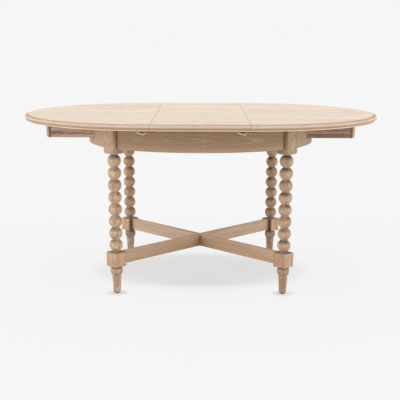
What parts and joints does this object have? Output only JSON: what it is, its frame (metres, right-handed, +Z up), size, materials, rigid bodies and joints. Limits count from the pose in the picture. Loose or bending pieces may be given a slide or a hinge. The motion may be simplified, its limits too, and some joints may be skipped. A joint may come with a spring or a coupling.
{
  "type": "round extending dining table",
  "caption": "Round extending dining table: half-round tops on runners, a lift-out leaf, a curved apron, bobbin-turned legs and a crossed stretcher.",
  "frame": {"origin": "on the floor under the middle of the table, opened out with its leaf in", "axes": "+X along the way the top extends, +Y to the rear, +Z up"},
  "size_m": [1.5998, 1.2, 0.76],
  "materials": {
    "limed_top": "limed, matt waxed",
    "limed_base": "limed, matt waxed",
    "sliding_gear_wood": "plain hardwood, unwaxed",
    "catch_brass": "pale satin",
    "zinc_steel": "zinc plated",
    "glide_plastic": "moulded"
  },
  "bodies": {
    "base": {"base_screws": "zinc_steel", "foot_glides": "glide_plastic", "front_apron": "limed_base", "front_guide_rail": "sliding_gear_wood", "front_left_corner_brace": "sliding_gear_wood", "front_left_leg": "limed_base", "front_left_to_rear_right_stretcher": "limed_base", "front_rail_tongue": "sliding_gear_wood", "front_right_corner_brace": "sliding_gear_wood", "front_right_leg": "limed_base", "front_right_to_rear_left_stretcher": "limed_base", "hanger_bolt_nuts": "zinc_steel", "hanger_bolts": "zinc_steel", "left_apron": "limed_base", "left_cross_bearer": "sliding_gear_wood", "rear_apron": "limed_base", "rear_guide_rail": "sliding_gear_wood", "rear_left_corner_brace": "sliding_gear_wood", "rear_left_leg": "limed_base", "rear_rail_tongue": "sliding_gear_wood", "rear_right_corner_brace": "sliding_gear_wood", "rear_right_leg": "limed_base", "right_apron": "limed_base", "right_cross_bearer": "sliding_gear_wood"},
    "front_left_catch_lever": {"front_left_catch_lever": "catch_brass"},
    "front_right_catch_lever": {"front_right_catch_lever": "catch_brass"},
    "leaf": {"leaf_catch_plates": "catch_brass", "leaf_catch_screws": "catch_brass", "leaf_dowels": "sliding_gear_wood", "leaf_keepers": "catch_brass", "leaf_left_batten": "sliding_gear_wood", "leaf_panel": "limed_top", "leaf_right_batten": "sliding_gear_wood", "leaf_screws": "zinc_steel"},
    "left_half": {"left_catch_plates": "catch_brass", "left_catch_screws": "catch_brass", "left_dowels": "sliding_gear_wood", "left_front_end_cap": "limed_base", "left_front_runner": "sliding_gear_wood", "left_half_screws": "zinc_steel", "left_inner_batten": "sliding_gear_wood", "left_outer_batten": "sliding_gear_wood", "left_rear_end_cap": "limed_base", "left_rear_runner": "sliding_gear_wood", "left_stop_blocks": "sliding_gear_wood", "left_top_panel": "limed_top"},
    "rear_left_catch_lever": {"rear_left_catch_lever": "catch_brass"},
    "rear_right_catch_lever": {"rear_right_catch_lever": "catch_brass"},
    "right_half": {"right_catch_screws": "catch_brass", "right_front_end_cap": "limed_base", "right_front_runner": "sliding_gear_wood", "right_half_screws": "zinc_steel", "right_inner_batten": "sliding_gear_wood", "right_keepers": "catch_brass", "right_outer_batten": "sliding_gear_wood", "right_rear_end_cap": "limed_base", "right_rear_runner": "sliding_gear_wood", "right_stop_blocks": "sliding_gear_wood", "right_top_panel": "limed_top"}
  },
  "joints": [
    {"name": "left_half_slide", "type": "slide", "parent": "base", "child": "left_half", "axis": [-1, 0, 0], "range_m": [-0.2, 0]},
    {"name": "right_half_slide", "type": "slide", "parent": "base", "child": "right_half", "axis": [1, 0, 0], "range_m": [-0.2, 0]},
    {"name": "leaf_lift", "type": "slide", "parent": "base", "child": "leaf", "axis": [0, 0, 1], "range_m": [0, 0.5]},
    {"name": "front_left_catch_swing", "type": "hinge", "parent": "left_half", "child": "front_left_catch_lever", "pos_m": [-0.234, -0.574, 0.7312], "axis": [0, 0, 1], "range_deg": [0, 80]},
    {"name": "rear_left_catch_swing", "type": "hinge", "parent": "left_half", "child": "rear_left_catch_lever", "pos_m": [-0.234, 0.574, 0.7312], "axis": [0, 0, -1], "range_deg": [0, 80]},
    {"name": "front_right_catch_swing", "type": "hinge", "parent": "leaf", "child": "front_right_catch_lever", "pos_m": [0.166, -0.574, 0.7312], "axis": [0, 0, 1], "range_deg": [0, 80]},
    {"name": "rear_right_catch_swing", "type": "hinge", "parent": "leaf", "child": "rear_right_catch_lever", "pos_m": [0.166, 0.574, 0.7312], "axis": [0, 0, -1], "range_deg": [0, 80]}
  ],
  "couplings": [
    {"joint": "right_half_slide", "follows": "left_half_slide", "ratio": 1},
    {"joint": "leaf_lift", "follows": "left_half_slide", "ratio": -2.5}
  ]
}
